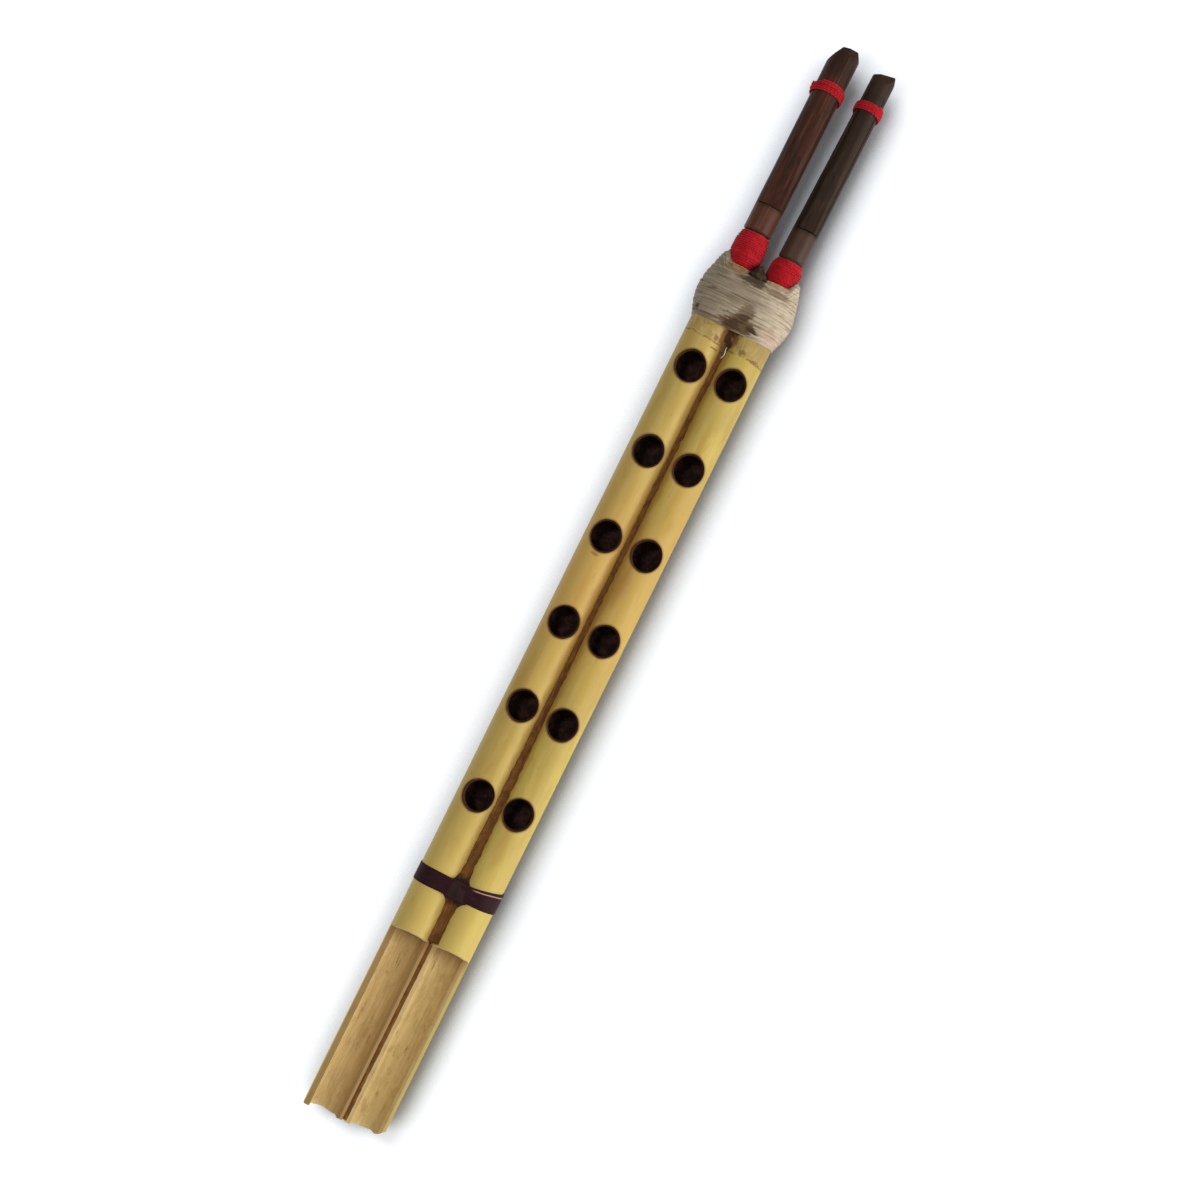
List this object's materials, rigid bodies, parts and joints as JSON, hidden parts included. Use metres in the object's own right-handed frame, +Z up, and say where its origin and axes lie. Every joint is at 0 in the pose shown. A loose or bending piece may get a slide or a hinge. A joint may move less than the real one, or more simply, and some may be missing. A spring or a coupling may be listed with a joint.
{
  "type": "double reed pipe",
  "caption": "Side-by-side cane pipes with finger holes and an open scooped foot, joined by resin and thread, each blown through a cane tube reed with a thread bridle",
  "frame": {"origin": "middle of the bounding box in X and Y, on the plane that the instrument lies on, its back down", "axes": "+X across to the right-hand pipe, +Y along the pipes from the open foot to the reeds, +Z up out of the finger holes"},
  "size_m": [0.0268, 0.3014, 0.0155],
  "materials": {
    "cane": "scraped and polished yellow cane with fine lengthwise grain",
    "resin": "dark brown resin run along the seam, semi-gloss",
    "dark_band": "near-black maroon lacquered tape",
    "waxed_thread": "grey-beige waxed thread, fuzzy and matt",
    "dark_wax": "dark brown wax soaked into thread",
    "left_reed_cane": "stained reddish brown cane, satin",
    "right_reed_cane": "stained dark brown cane, satin",
    "red_thread": "bright red cotton thread, matt"
  },
  "bodies": {
    "pipes": {"left_pipe": "cane", "right_pipe": "cane", "front_seam": "resin", "back_seam": "resin", "foot_band": "dark_band", "binding_core": "dark_wax", "binding_thread": "waxed_thread", "crotch_wax": "dark_wax", "left_shoulder_wax": "dark_wax", "right_shoulder_wax": "dark_wax"},
    "left_packing": {"left_packing_sleeve": "dark_wax", "left_packing_thread": "red_thread"},
    "left_reed": {"left_reed_tube": "left_reed_cane"},
    "left_tongue": {"left_reed_tongue": "left_reed_cane"},
    "left_bridle": {"left_bridle_thread": "red_thread"},
    "right_packing": {"right_packing_sleeve": "dark_wax", "right_packing_thread": "red_thread"},
    "right_reed": {"right_reed_tube": "right_reed_cane"},
    "right_tongue": {"right_reed_tongue": "right_reed_cane"},
    "right_bridle": {"right_bridle_thread": "red_thread"}
  },
  "joints": [
    {"name": "left_reed_turn", "type": "hinge", "parent": "pipes", "child": "left_packing", "pos_m": [-0.00525, 0.08925, 0.00775], "axis": [0.0035, 1, 0], "range_deg": [-20, 20]},
    {"name": "left_reed_pull", "type": "slide", "parent": "left_packing", "child": "left_reed", "axis": [0.0035, 1, 0], "range_m": [0, 0.012]},
    {"name": "left_tongue_flex", "type": "hinge", "parent": "left_reed", "child": "left_tongue", "pos_m": [-0.00506, 0.14245, 0.0099], "axis": [-1, 0.0035, 0], "range_deg": [-0.35, 1], "stiffness_Nm_per_rad": 0.002},
    {"name": "left_bridle_slide", "type": "slide", "parent": "left_reed", "child": "left_bridle", "axis": [0.0035, 1, 0], "range_m": [-0.006, 0.002]},
    {"name": "right_reed_turn", "type": "hinge", "parent": "pipes", "child": "right_packing", "pos_m": [0.00545, 0.08925, 0.00775], "axis": [0.0164, 0.9999, 0], "range_deg": [-20, 20]},
    {"name": "right_reed_pull", "type": "slide", "parent": "right_packing", "child": "right_reed", "axis": [0.0164, 0.9999, 0], "range_m": [0, 0.012]},
    {"name": "right_tongue_flex", "type": "hinge", "parent": "right_reed", "child": "right_tongue", "pos_m": [0.00632, 0.14244, 0.0099], "axis": [-0.9999, 0.0164, 0], "range_deg": [-0.35, 1], "stiffness_Nm_per_rad": 0.002},
    {"name": "right_bridle_slide", "type": "slide", "parent": "right_reed", "child": "right_bridle", "axis": [0.0164, 0.9999, 0], "range_m": [-0.006, 0.002]}
  ]
}
